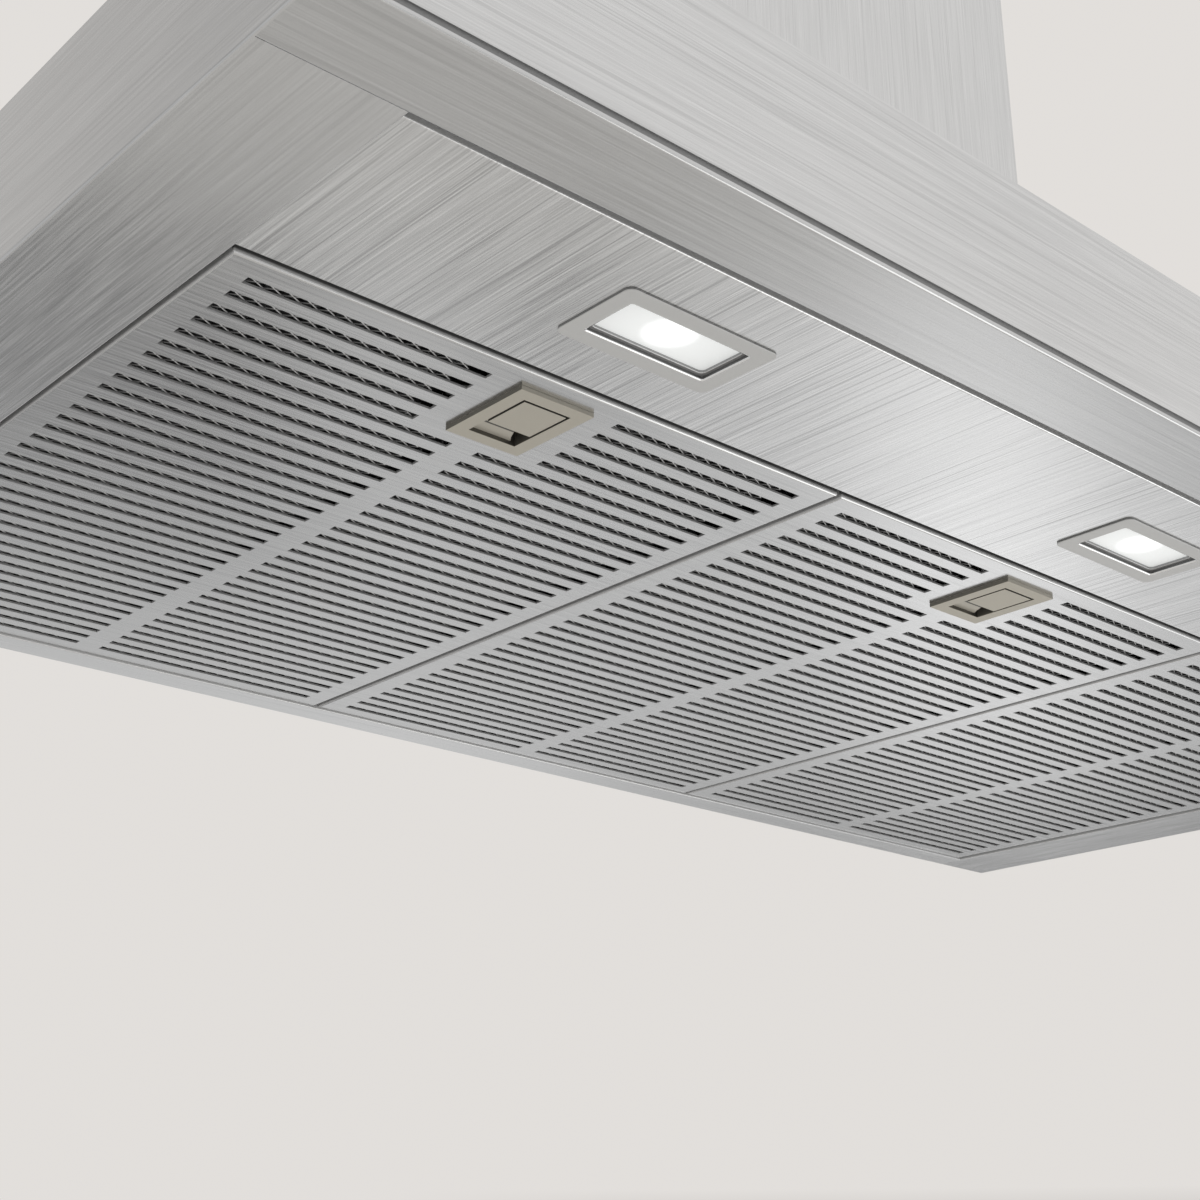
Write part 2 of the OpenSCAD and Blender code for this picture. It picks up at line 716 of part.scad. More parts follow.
// The cap reaches through the fascia; its collar stops it from falling out
module button(i) {
    color(pale_grey) translate([button_x(i), 0, z_button]) {
        along_y(y_front - button_proud, y_fascia_back + 1 + run + 1.5) button_shape(0);
        along_y(y_fascia_back + 1 + run, y_fascia_back + 1 + run + 1.5) button_shape(1);
        along_y(y_fascia_back + 1 + run, y_fascia_back + module_d - module_wall - button_travel - run)
            square([4, 4], center = true);
    }
}

module control_box() {
    x0 = 60;
    w = 130;
    y0 = y_panel_front + 8;
    d = 55;
    z0 = 32;
    color(black) {
        block([x0, y0, z0], [x0 + w, y0 + d, z_plate]);
        for (k = [0:9]) translate([x0 + 10 + k * 12, y0 + 6, z0 - 1]) cube([5, d - 12, 1 + e]);
    }
}

// Blower: sheet steel box, scroll in two halves, motor and double-inlet impeller

x_gland = box_w / 2 - 24;
y_gland = y_box_rear - 26;
gland_bore_r = 3.6;

module blower_box() {
    t = box_wall;
    color(galvanised) difference() {
        union() {
            block([-box_w / 2, y_box_front, canopy_h], [box_w / 2, y_box_rear, z_box_top]);
            block([-box_w / 2 - box_flange, y_box_front, canopy_h], [box_w / 2 + box_flange, y_box_rear, canopy_h + t]);
        }
        block([-box_w / 2 + t, y_box_front + t, canopy_h - 1], [box_w / 2 - t, y_box_rear - t, z_box_top - t]);
        translate([0, y_collar, z_box_top - 2 * t]) cylinder(r = duct_r - collar_t, h = 3 * t);
        translate([x_gland, y_gland, z_box_top - 2 * t]) cylinder(r = gland_bore_r, h = 3 * t);
        blower_screw_places() translate([0, 0, canopy_h - 1]) cylinder(d = 4, h = 4);
    }
}

module blower_screws() {
    color(grey_steel) blower_screw_places() translate([0, 0, canopy_h + box_wall]) pan_screw(6.5, 3.9, box_wall + sheet_t + 2);
}

function spiral(grow) = [for (k = [0:40])
    let (s = k / 40, a = tongue_angle - s * scroll_sweep, r = scroll_r0 + (scroll_r - scroll_r0) * s + grow)
    [y_fan + r * cos(a), z_fan + r * sin(a)]];

// Inside of the scroll, grown by its wall on the outside
module scroll_outline(grow, top) {
    polygon(concat(
        spiral(grow),
        [[y_fan - scroll_r - grow, top], [y_collar + duct_r + grow, top]]
    ));
}

module scroll_half(side) {
    z_top = z_box_top - box_wall - fit;
    x0 = min(0, side * scroll_outer_w / 2);
    difference() {
        translate([x0 + scroll_outer_w / 4, 0, 0]) difference() {
            along_x(scroll_outer_w / 2) scroll_outline(scroll_t, z_top);
            translate([-side * scroll_t, 0, 0]) along_x(scroll_outer_w / 2 + e) scroll_outline(0, z_top + 1);
        }
        translate([0, y_fan, z_fan]) rotate([0, side * 90, 0]) cylinder(r = inlet_r, h = scroll_outer_w);
    }
    translate([side * (scroll_outer_w / 2 - e), y_fan, z_fan]) rotate([0, side * 90, 0])
        rotate_extrude() translate([inlet_r, 0]) difference() {
            square([6, inlet_lip + e]);
            translate([6, inlet_lip + e]) circle(4);
        }
}

module scroll_left() color(black) scroll_half(-1);
module scroll_right() color(black) scroll_half(1);

module motor() {
    color(grey_steel) translate([x_motor + bracket_t, y_fan, z_fan]) rotate([0, 90, 0]) difference() {
        union() {
            cylinder(r = motor_r * 0.82, h = motor_l);
            translate([0, 0, 6]) cylinder(r = motor_r, h = motor_l - 14);
            for (a = [0:20:340]) rotate(a) translate([motor_r * 0.8, -1, 3]) cube([motor_r * 0.17, 2, motor_l - 6]);
        }
        translate([0, 0, -1]) cylinder(r = shaft_r + 0.05, h = motor_l + 2);
    }
}

module motor_bracket() {
    reach = inlet_r + 16;
    color(galvanised) translate([x_motor, y_fan, z_fan]) rotate([0, 90, 0]) {
        linear_extrude(bracket_t) difference() {
            union() {
                circle(motor_r * 0.6);
                for (a = [30, 150, 270]) rotate(a) translate([0, -6]) square([reach, 12]);
            }
            circle(motor_r * 0.3);
        }
        for (a = [30, 150, 270]) rotate(a)
            block([reach - 8, -7, 0], [reach + 0.5, 7, bracket_t + inlet_lip]);
    }
}

module fan_shaft() {
    color(steel) translate([x_motor + bracket_t + 2, y_fan, z_fan]) rotate([0, 90, 0])
        cylinder(r = shaft_r, h = motor_l + 26);
}

// One forward-curved blade, drawn from its root to its tip
function blade_arc(n, offset) = [for (k = [0:n])
    let (s = k / n, r = inlet_r + (blade_l - 1) * s, a = 18 * s * s + offset)
    [r * cos(a), r * sin(a)]];

module impeller() {
    half_w = impeller_w / 2;
    ring_t = 2;
    color(dark_grey) translate([0, y_fan, z_fan]) rotate([0, 90, 0]) {
        linear_extrude(impeller_w - ring_t, center = true) for (i = [0:blade_n - 1]) rotate(i * 360 / blade_n)
            polygon(concat(blade_arc(4, 0), [for (k = [4:-1:0]) blade_arc(4, 0.9)[k]]));
        for (z = [-half_w, half_w - ring_t]) translate([0, 0, z]) difference() {
            cylinder(r = impeller_r, h = ring_t);
            translate([0, 0, -1]) cylinder(r = impeller_r - 5, h = ring_t + 2);
        }
        difference() {
            union() {
                translate([0, 0, -1]) cylinder(r = impeller_r, h = 2);
                translate([0, 0, -9]) cylinder(r = 14, h = 21);
            }
            translate([0, 0, -10]) cylinder(r = shaft_r, h = 24);
            for (a = [0:60:300]) rotate(a) translate([38, 0, -2]) cylinder(r = 10, h = 4);
        }
    }
}

// Duct collar with its two backflow flaps

module outlet_collar() {
    ledge_z = z_flap - knuckle_r - flap_t - run;
    color(black) translate([0, y_collar, 0]) difference() {
        union() {
            translate([0, 0, z_box_top]) linear_extrude(3) round_rect(2 * duct_r + 18, 2 * duct_r + 4, 6);
            translate([0, 0, z_box_top]) cylinder(r = duct_r, h = collar_h);
        }
        translate([0, 0, z_box_top - 1]) cylinder(r = duct_r - collar_t - 5, h = collar_h + 2);
        translate([0, 0, ledge_z]) cylinder(r = duct_r - collar_t, h = collar_h);
        translate([-duct_r - 1, 0, z_flap]) rotate([0, 90, 0]) cylinder(r = flap_pin_r, h = 2 * duct_r + 2);
    }
}

module flap_pin() {
    color(steel) translate([-duct_r + 0.5, y_collar, z_flap]) rotate([0, 90, 0])
        cylinder(r = flap_pin_r, h = 2 * duct_r - 1);
}

// Half disc that hangs behind the pin on two knuckles; side is -1 to the front, 1 to the rear
module flap(side) {
    edge = knuckle_r + 1;
    color(dark_grey) translate([0, y_collar, z_flap]) {
        difference() {
            translate([0, 0, -knuckle_r - flap_t]) cylinder(r = flap_r, h = flap_t);
            block([-duct_r, side < 0 ? -edge : -duct_r, -knuckle_r - 2 * flap_t], [duct_r, side < 0 ? duct_r : edge, 0]);
        }
        for (x = side < 0 ? [-58, 10] : [-30, 38]) difference() {
            union() {
                translate([x, 0, 0]) rotate([0, 90, 0]) cylinder(r = knuckle_r, h = 18);
                block([x, side < 0 ? -edge - 6 : 0, -knuckle_r - flap_t], [x + 18, side < 0 ? 0 : edge + 6, -knuckle_r + 1.2]);
            }
            translate([x - 1, 0, 0]) rotate([0, 90, 0]) cylinder(r = flap_pin_r + 0.05, h = 20);
        }
    }
}

module flap_front() flap(-1);
module flap_rear() flap(1);

module cable_gland() {
    color(black) translate([x_gland, y_gland, z_box_top]) difference() {
        union() {
            cylinder(r = 10, h = 5, $fn = 6);
            cylinder(r = 8, h = 12);
            translate([0, 0, 12]) cylinder(r1 = 8, r2 = 6, h = 5);
        }
        translate([0, 0, -1]) cylinder(r = gland_bore_r, h = 20);
    }
}

// Chimney: lower cover, telescopic upper cover with vents, and its wall bracket

module chimney_lower() {
    t = chimney_t;
    half = chimney_w / 2;
    color(steel) difference() {
        block([-half, y_chimney_front, canopy_h], [half, 0, z_chimney_top]);
        block([-half + t, y_chimney_front + t, canopy_h - 1], [half - t, 1, z_chimney_top + 1]);
    }
}

module chimney_upper() {
    t = chimney_t;
    half = upper_w / 2;
    return_w = 12;
    vent_l = 90;
    vent_h = 5;
    color(steel) difference() {
        block([-half, y_upper_front, canopy_h + run], [half, y_upper_rear, z_chimney_top]);
        block([-half + t, y_upper_front + t, canopy_h - 1], [half - t, y_upper_rear - t, z_chimney_top + 1]);
        block([-half + return_w, y_upper_rear - 2 * t, canopy_h - 1], [half - return_w, 1, z_chimney_top + 1]);
        block([-half + t, y_upper_rear - 2 * t, z_chimney_top - bracket_drop - bracket_h - 6],
            [half - t, 1, z_chimney_top + 1]);
        for (k = [0:vent_n - 1], s = [-1, 1]) translate([
            s * half, (y_upper_front + y_upper_rear) / 2, z_chimney_top - 60 - k * 2 * vent_h
        ]) cube([4 * t, vent_l, vent_h], center = true);
    }
}

module chimney_bracket() {
    t = 1.5;
    half = upper_w / 2 - chimney_t;
    z1 = z_chimney_top - bracket_drop;
    z0 = z1 - bracket_h;
    color(galvanised) difference() {
        union() {
            block([-half, -t, z0], [half, 0, z1]);
            for (x = [-half, half - t]) block([x, -bracket_reach, z0], [x + t, 0, z1]);
        }
        for (x = [-bracket_hole_x, bracket_hole_x]) translate([x, 1, (z0 + z1) / 2]) rotate([90, 0, 0]) cylinder(d = hanging_hole_d, h = t + 2);
    }
}

// Only one node is drawn at a time, or all of them together

side_panel_left();
side_panel_right();
rear_rail();
front_rim();
fascia_seal();
front_fascia();
light_panel();
top_plate();
canopy_screws();
for (i = [0:len(SIDES) - 1]) translate([place_x(i) + lamp_offset, y_lamp, 0]) {
    lamp_bezel();
    lamp_lens();
    lamp_housing();
}
for (i = [0:len(SIDES) - 1]) translate([place_x(i), 0, 0]) {
    filter_cover();
    filter_mesh();
    filter_back();
    latch_bezel();
    latch_slider();
    latch_spring();
}
control_module();
control_box();
for (i = [1:button_n]) button(i);
blower_box();
blower_screws();
scroll_left();
scroll_right();
motor();
motor_bracket();
fan_shaft();
impeller();
outlet_collar();
flap_pin();
flap_front();
flap_rear();
cable_gland();
chimney_lower();
chimney_upper();
chimney_bracket();
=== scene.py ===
"""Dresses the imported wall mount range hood: finishes, expanded mesh, lamps, light and camera."""

import json
import math

import bmesh
import bpy
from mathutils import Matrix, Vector


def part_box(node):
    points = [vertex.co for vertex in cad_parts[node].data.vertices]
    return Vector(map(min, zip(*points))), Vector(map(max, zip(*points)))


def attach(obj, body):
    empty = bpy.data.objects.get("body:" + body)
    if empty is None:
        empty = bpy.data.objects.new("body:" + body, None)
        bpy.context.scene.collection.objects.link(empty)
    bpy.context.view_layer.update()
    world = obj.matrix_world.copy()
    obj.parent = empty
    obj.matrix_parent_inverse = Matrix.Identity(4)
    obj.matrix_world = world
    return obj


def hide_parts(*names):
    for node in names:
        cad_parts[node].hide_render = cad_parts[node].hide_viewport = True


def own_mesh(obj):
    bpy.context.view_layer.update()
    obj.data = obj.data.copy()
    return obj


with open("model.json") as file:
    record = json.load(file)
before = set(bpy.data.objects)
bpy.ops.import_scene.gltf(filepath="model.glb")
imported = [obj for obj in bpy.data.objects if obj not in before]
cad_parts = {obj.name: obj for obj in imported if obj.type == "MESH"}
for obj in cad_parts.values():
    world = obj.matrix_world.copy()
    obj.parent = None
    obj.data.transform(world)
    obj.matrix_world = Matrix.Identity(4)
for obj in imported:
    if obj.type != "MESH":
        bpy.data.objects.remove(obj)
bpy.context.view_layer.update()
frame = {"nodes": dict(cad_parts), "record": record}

MM = 0.001
SIDES = ("left", "centre", "right")
X, Y, Z = 0, 1, 2
body_of_node = {n: b for b, ns in frame["record"]["behaviour"]["bodies"].items() for n in ns}
slot_of_node = {s["node"]: s["material_slot"] for s in frame["record"]["subparts"]}


class Graph:
    """Short calls for the nodes of one material or world."""

    def __init__(self, tree):
        self.tree = tree

    def add(self, kind, **inputs):
        node = self.tree.nodes.new(kind)
        for key, value in inputs.items():
            self.feed(node.inputs[key.replace("_", " ")], value)
        return node

    def feed(self, socket, value):
        if isinstance(value, bpy.types.NodeSocket):
            self.tree.links.new(value, socket)
        else:
            socket.default_value = value

    def maths(self, operation, *values, clamp=False):
        node = self.tree.nodes.new("ShaderNodeMath")
        node.operation = operation
        node.use_clamp = clamp
        for socket, value in zip(node.inputs, values):
            self.feed(socket, value)
        return node.outputs[0]

    def product(self, *values):
        result = values[0]
        for value in values[1:]:
            result = self.maths("MULTIPLY", result, value)
        return result

    def total(self, *values):
        result = values[0]
        for value in values[1:]:
            result = self.maths("ADD", result, value)
        return result

    def rest(self, value):
        return self.maths("SUBTRACT", 1.0, value)

    def where(self, kind):
        """A texture coordinate: Object, which is in metres, Normal or Generated."""
        return self.tree.nodes.new("ShaderNodeTexCoord").outputs[kind]

    def axes(self, vector):
        return self.add("ShaderNodeSeparateXYZ", Vector=vector).outputs

    def place(self, scale=(1, 1, 1), offset=(0, 0, 0)):
        """Object coordinates in metres, times scale."""
        return self.add("ShaderNodeMapping", Vector=self.where("Object"), Scale=scale, Location=offset).outputs[0]

    def facing(self):
        """How far the surface faces along each axis, 0 to 1."""
        return [self.maths("ABSOLUTE", part) for part in self.axes(self.where("Normal"))]

    def noise(self, scale=(1, 1, 1), detail=2.0, roughness=0.5, offset=(0, 0, 0)):
        place = self.place(scale, offset)
        return self.add("ShaderNodeTexNoise", Vector=place, Scale=1.0, Detail=detail, Roughness=roughness).outputs[0]

    def spread(self, value, low, high, to_low=0.0, to_high=1.0, smooth=False):
        node = self.add("ShaderNodeMapRange")
        node.clamp = True
        node.interpolation_type = "SMOOTHSTEP" if smooth else "LINEAR"
        for socket, v in zip(node.inputs, (value, low, high, to_low, to_high)):
            self.feed(socket, v)
        return node.outputs[0]

    def blend(self, factor, first, second):
        """From the first colour, at factor 0, to the second."""
        node = self.tree.nodes.new("ShaderNodeMix")
        node.data_type = "RGBA"
        self.feed(node.inputs["Factor"], factor)
        self.feed(node.inputs[6], first)
        self.feed(node.inputs[7], second)
        return node.outputs[2]


# ---------------------------------------------------------------- camera, lamps, world and floor

CAMERA_AT = (-0.6300, -0.7974, -0.2847)
CAMERA_LOOKS = Vector((0.62207, 0.69908, 0.35261))
CAMERA_LENS = 55.17

# Each lamp's place, target, sides in metres and power in watts
LAMPS = {
    "edge_light": ((0.93, -0.95, -0.95), (0, -0.25, 0), (1.0, 1.0), 3.3),
    "top_softbox": ((-1.2, -1.8, 2.4), (0, -0.2, 0.3), (4.0, 4.0), 26),
}

# The studio's levels, in linear light. Directions are a turn round Z in degrees, from +X, and the share that
# points down. Below the horizon lies what the underside mirrors: a plain level, to which each field adds its own.
PLATEAU = 0.72
FIELDS = (
    (0.44, dict(turn_from=(29, 35), turn_to=(36.5, 42.5), down_from=(0.22, 0.32))),  # bright window
    (-0.45, dict(turn_from=(54, 62), turn_to=(100, 112), down_from=(0.33, 0.43))),  # shaded corner
    (-0.50, dict(turn_from=(43, 49), turn_to=(51, 56), down_from=(0.455, 0.475))),  # shade near the panel's end
    (0.20, dict(turn_to=(46, 56), down_from=(0.235, 0.26), down_to=(0.28, 0.32))),  # shelf over the dim band
)
HORIZON_BAND = 0.02
BAND_FIELD = dict(turn_to=(46, 56), down_to=(0.222, 0.25))
REAR_FIELD = dict(turn_from=(-8, 24), turn_to=(82, 112))
FRONT_LEVEL = 0.80
FRONT_FIELD = dict(turn_from=(-172, -130), turn_to=(-8, 24))
SIDE_LEVEL = 0.62
PALE = (0.76, 0.735, 0.71, 1)
FRONT_GLOW = (0.90, 0.89, 0.88, 1)
REAR_SHADE = (0.42, 0.42, 0.42, 1)
REAR_SHADE_SHARE = 0.8
CEILING = (0.60, 0.60, 0.595, 1)

FLOOR_AT = (0, -0.25, -1.6)
FLOOR_RADIUS = 2.3
FLOOR_TONES = ((0.80, 0.79, 0.77, 1), (0.83, 0.82, 0.80, 1))


def make_camera():
    data = bpy.data.cameras.new("camera")
    data.sensor_fit = "HORIZONTAL"
    data.sensor_width = 36
    data.lens = CAMERA_LENS
    data.clip_start, data.clip_end = 0.01, 50
    camera = bpy.data.objects.new("camera", data)
    camera.location = CAMERA_AT
    camera.rotation_euler = CAMERA_LOOKS.to_track_quat("-Z", "Y").to_euler()
    bpy.context.scene.collection.objects.link(camera)
    bpy.context.scene.camera = camera


def area_light(name, at, towards, size, power):
    data = bpy.data.lights.new(name, "AREA")
    data.shape = "RECTANGLE"
    data.size, data.size_y = size
    data.energy = power
    light = bpy.data.objects.new(name, data)
    light.location = at
    light.rotation_euler = (Vector(towards) - Vector(at)).to_track_quat("-Z", "Y").to_euler()
    bpy.context.scene.collection.objects.link(light)


def make_world():
    """A pale room. Below the horizon it has a bright window field, a shaded corner and a dim band."""
    world = bpy.data.worlds.new("studio")
    bpy.context.scene.world = world
    world.use_nodes = True
    g = Graph(world.node_tree)
    x, y, z = g.axes(g.where("Generated"))
    turn = g.maths("MULTIPLY", g.maths("ARCTAN2", y, x), 180 / math.pi)
    down = g.maths("MULTIPLY", z, -1.0)

    def step(value, start, end):
        return g.spread(value, start, end, smooth=True)

    def fall(value, start, end):
        return g.spread(value, start, end, 1, 0, smooth=True)

    def field(turn_from=None, turn_to=None, down_from=None, down_to=None):
        """1 between the named soft edges."""
        edges = ((step, turn, turn_from), (fall, turn, turn_to), (step, down, down_from), (fall, down, down_to))
        return g.product(*(kind(value, *edge) for kind, value, edge in edges if edge))

    level = PLATEAU
    for change, edges in FIELDS:
        level = g.total(level, g.product(field(**edges), change))
    band = field(**BAND_FIELD)
    level = g.total(g.product(level, g.rest(band)), g.product(band, HORIZON_BAND))
    rear, front = field(**REAR_FIELD), field(**FRONT_FIELD)
    sides = g.maths("SUBTRACT", g.rest(rear), front)
    level = g.total(g.product(level, rear), g.product(front, FRONT_LEVEL), g.product(sides, SIDE_LEVEL))
    below = g.add("ShaderNodeCombineXYZ", X=level, Y=level, Z=level).outputs[0]

    above = g.blend(fall(y, -0.5, 0.05), PALE, FRONT_GLOW)
    rear_left = g.product(fall(x, -0.55, -0.05), step(y, 0.0, 0.4))
    above = g.blend(g.product(rear_left, REAR_SHADE_SHARE), above, REAR_SHADE)
    above = g.blend(step(z, 0.66, 0.95), above, CEILING)
    background = world.node_tree.nodes["Background"]
    g.feed(background.inputs["Color"], g.blend(g.spread(z, -0.03, 0.05), below, above))
    background.inputs["Strength"].default_value = 1.0


def make_floor():
    bm = bmesh.new()
    bmesh.ops.create_circle(bm, cap_ends=True, segments=128, radius=FLOOR_RADIUS)
    bmesh.ops.translate(bm, verts=bm.verts, vec=FLOOR_AT)
    mesh = bpy.data.meshes.new("floor")
    bm.to_mesh(mesh)
    bm.free()
    floor = bpy.data.objects.new("floor", mesh)
    bpy.context.scene.collection.objects.link(floor)
    material, g, shader = principled("floor", roughness=0.8)
    g.feed(shader.inputs["Base Color"], g.blend(g.noise((3, 3, 3), 3), *FLOOR_TONES))
    mesh.materials.append(material)


# ---------------------------------------------------------------- finishes

STEEL = (0.635, 0.637, 0.637)
CHAMPAGNE = (0.53, 0.50, 0.43)
TRIM_GREY = (0.60, 0.60, 0.59)

# Seams and slots of the underside: how metallic their upright walls stay, and the grey tones of painted shade they
# get
WALL_METAL = 0.25
WALL_TONE = 0.55
SLOT_WALL_TONE = 0.38
SIDE_WALL_TONE = 0.45
HIGH_FOLD_SHADE = 0.10
SEAM_HALF_WIDTH = 0.445
SEAM_REAR = -0.012
FILTER_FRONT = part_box("filter_cover_centre")[0].y

# Latch: what each kind of face keeps of CHAMPAGNE, darker with painted shade on flanks, front faces and recess, and
# where the painted shadow line behind the slider lies
SIDE_FACE, END_FACE, RECESS_END_FACE, LEDGE_FACE, SLIDER_SHADOW_TONE = 0.36, 0.66, 0.20, 0.92, 0.12
LEDGE_METAL, LATCH_METAL = 0.3, 0.75
LEDGE_LOW = -0.8 * MM
LATCH_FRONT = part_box("latch_bezel_centre")[0].y
RECESS_FRONT = LATCH_FRONT + 5 * MM
SLIDER_SHADOW_BAND = [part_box("latch_slider_centre")[1].y + d * MM for d in (2.3, 2.5, 3.4, 3.7)]

# Lamp: heights over the trim's underside where its painted shadow line, and the painted shade of its inner wall and
# lip, begin
TRIM_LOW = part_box("lamp_bezel_centre")[0].z
SHADOW_LINE = (0.35 * MM, 0.45 * MM)
INNER_WALL = (0.8 * MM, 0.9 * MM)
LIP = (1.5 * MM, 1.6 * MM)
# How dark the painted shadow line, and the inner wall's and lip's painted shade, are
SHADOW_LINE_TONE, INNER_WALL_SHADE, LIP_SHADE = 0.25, 0.14, 0.34
SPOT_OFFSET = (-0.0010, -0.0018)
SPOT_R = 8.8 * MM
LENS_GLOW, SPOT_GLOW, HALO_GLOW = 0.35, 0.35, 0.14


def principled(name, metallic=0.0, roughness=0.5):
    """A new material with its graph and its shader."""
    material = bpy.data.materials.new(name)
    material.use_nodes = True
    shader = material.node_tree.nodes["Principled BSDF"]
    shader.inputs["Metallic"].default_value = metallic
    shader.inputs["Roughness"].default_value = roughness
    return material, Graph(material.node_tree), shader


def shade(rgb, factor):
    return (rgb[0] * factor, rgb[1] * factor, rgb[2] * factor, 1)


def grey(level):
    return (level, level, level, 1)


def grain(g, size=2200):
    """A fine even grain, and slow variation over it."""
    return g.noise((size,) * 3, 3, 0.6), g.noise((14, 14, 14), 2, 0.5)


def raise_grain(g, shader, height, strength, distance=0.05 * MM):
    bump = g.add("ShaderNodeBump", Height=height, Strength=strength, Distance=distance)
    g.feed(shader.inputs["Normal"], bump.outputs[0])


def seam_walls(g):
    """1 on the upright faces inside the underside's outline: the walls of seams and slots, and most of side bends,
    which get painted shade.
    """
    sideways, _, upright = g.facing()
    upright = g.maths("SUBTRACT", upright, g.spread(sideways, 0.3, 0.5, 0, 0.5))
    x, y, _ = g.axes(g.place())
    inside = g.product(g.maths("LESS_THAN", g.maths("ABSOLUTE", x), SEAM_HALF_WIDTH),
                       g.maths("LESS_THAN", y, SEAM_REAR))
    return g.product(g.spread(upright, 0.2, 0.6, 1, 0), inside)


def filter_walls(g):
    """The painted shade of a filter's cut edges and folds: dull grey in the slots, and dark high up on the front
    fold, inside the gap.
    """
    _, y, z = g.axes(g.place())
    at_front = g.maths("LESS_THAN", y, FILTER_FRONT + 1.0 * MM)
    # Painted shade: the front fold darkens from 1.2 mm up, inside the gap to the light panel
    front = g.spread(z, 1.2 * MM, 1.9 * MM, WALL_TONE, HIGH_FOLD_SHADE)
    inner = g.spread(g.facing()[X], 0.3, 0.7, SLOT_WALL_TONE, SIDE_WALL_TONE)
    tone = g.total(g.product(at_front, front), g.product(g.rest(at_front), inner))
    return g.add("ShaderNodeCombineColor", Red=tone, Green=tone, Blue=tone).outputs[0]


def brushed(name, along, tone=1.0, contrast=0.12, roughness=0.21, size=1200, length=20, strokes=0.3, bump=0.05,
            walls=True, along_slots=False):
    """Sheet steel: a fine grain along one axis, a few longer strokes, and duller cut edges and folds in the seams,
    partly their own duller finish and partly a grey of painted shade.
    """
    material, g, shader = principled(name, metallic=1.0)

    def stretched(across, lengthwise):
        scale = [across] * 3
        scale[along] = lengthwise
        return tuple(scale)

    wide = stretched(size * 0.65, length * 0.3)
    fine = g.noise(stretched(size, length), 3, 0.7)
    long_ones = g.noise(wide, 2, 0.6, offset=(3.1, 1.7, 0.6))
    slow = g.noise((5, 5, 5), 2, 0.5, offset=(0.4, 0.9, 0.2))
    marks = g.spread(g.noise(wide, 0, 0.5, offset=(7.3, 5.9, 2.2)), 0.67, 0.74)
    mixed = g.total(g.product(fine, 0.62), g.product(long_ones, 0.28), g.product(slow, 0.10))
    mixed = g.maths("SUBTRACT", g.spread(mixed, 0.35, 0.65), g.product(marks, strokes), clamp=True)
    colour = g.blend(mixed, shade(STEEL, tone * (1 - contrast)), shade(STEEL, tone * (1 + contrast)))
    # Upright walls in the seams: less metallic, with a grey of painted shade in place of the steel's colour
    if walls:
        wall = seam_walls(g)
        colour = g.blend(wall, colour, filter_walls(g) if along_slots else grey(WALL_TONE))
        g.feed(shader.inputs["Metallic"], g.spread(wall, 0, 1, 1, WALL_METAL))
    g.feed(shader.inputs["Base Color"], colour)
    g.feed(shader.inputs["Roughness"], g.spread(fine, 0.35, 0.65, roughness - 0.04, roughness + 0.05))
    raise_grain(g, shader, fine, bump, 0.03 * MM)
    return material


def grained(name, colour, metallic=0.0, roughness=0.5, size=2200, contrast=0.05, bump=0.15):
    """Moulded plastic, satin paint or cast metal: a fine even grain with slow variation."""
    material, g, shader = principled(name, metallic)
    fine, slow = grain(g, size)
    mixed = g.spread(g.total(g.product(fine, 0.5), g.product(slow, 0.5)), 0.35, 0.65)
    g.feed(shader.inputs["Base Color"], g.blend(mixed, shade(colour, 1 - contrast), shade(colour, 1 + contrast)))
    g.feed(shader.inputs["Roughness"], g.spread(slow, 0.3, 0.7, roughness - 0.04, roughness + 0.04))
    raise_grain(g, shader, fine, bump)
    return material


def galvanised(name, tone):
    """Zinc coat with its crystal patches."""
    material, g, shader = principled(name, metallic=1.0)
    cells = g.add("ShaderNodeTexVoronoi", Vector=g.place((120, 120, 120)), Scale=1.0).outputs["Color"]
    patch = g.add("ShaderNodeSeparateColor", Color=cells).outputs[0]
    mixed = g.total(g.product(patch, 0.7), g.product(g.noise((900,) * 3, 2), 0.3))
    g.feed(shader.inputs["Base Color"], g.blend(mixed, shade(tone, 0.82), shade(tone, 1.15)))
    g.feed(shader.inputs["Roughness"], g.spread(mixed, 0, 1, 0.32, 0.55))
    return material


def latch_satin(name):
    """Satin champagne lacquer, with painted shade on the flanks, front faces and finger recess, and a painted shadow
    line on the ledge behind its slider.
    """
    material, g, shader = principled(name)
    fine, slow = grain(g)
    mixed = g.spread(g.total(g.product(fine, 0.5), g.product(slow, 0.5)), 0.35, 0.65)
    colour = g.blend(mixed, shade(CHAMPAGNE, 0.97), shade(CHAMPAGNE, 1.03))
    sideways, lengthwise, under = g.facing()
    _, y, z = g.axes(g.place())
    in_recess = g.maths("GREATER_THAN", y, RECESS_FRONT)
    side_face, end_face = g.spread(sideways, 0.4, 0.7), g.spread(lengthwise, 0.4, 0.7)
    ledge = g.product(g.spread(under, 0.3, 0.6), g.maths("GREATER_THAN", z, LEDGE_LOW))
    slider_shadow = g.product(ledge, g.spread(y, *SLIDER_SHADOW_BAND[:2]), g.spread(y, *SLIDER_SHADOW_BAND[2:], 1, 0))
    # Painted shade on end faces, deepest in the recess, and on the flanks; the ledge's own duller tone; a painted
    # shadow line behind the slider
    for share, tone in (
        (g.product(end_face, in_recess), RECESS_END_FACE),
        (g.product(end_face, g.rest(in_recess)), END_FACE),
        (side_face, SIDE_FACE),
        (ledge, LEDGE_FACE),
        (slider_shadow, SLIDER_SHADOW_TONE),
    ):
        colour = g.blend(share, colour, shade(CHAMPAGNE, tone))
    g.feed(shader.inputs["Base Color"], colour)
    g.feed(shader.inputs["Metallic"], g.spread(ledge, 0, 1, LATCH_METAL, LEDGE_METAL))
    g.feed(shader.inputs["Roughness"], g.spread(slow, 0.3, 0.7, 0.40, 0.48))
    raise_grain(g, shader, fine, 0.05)
    return material


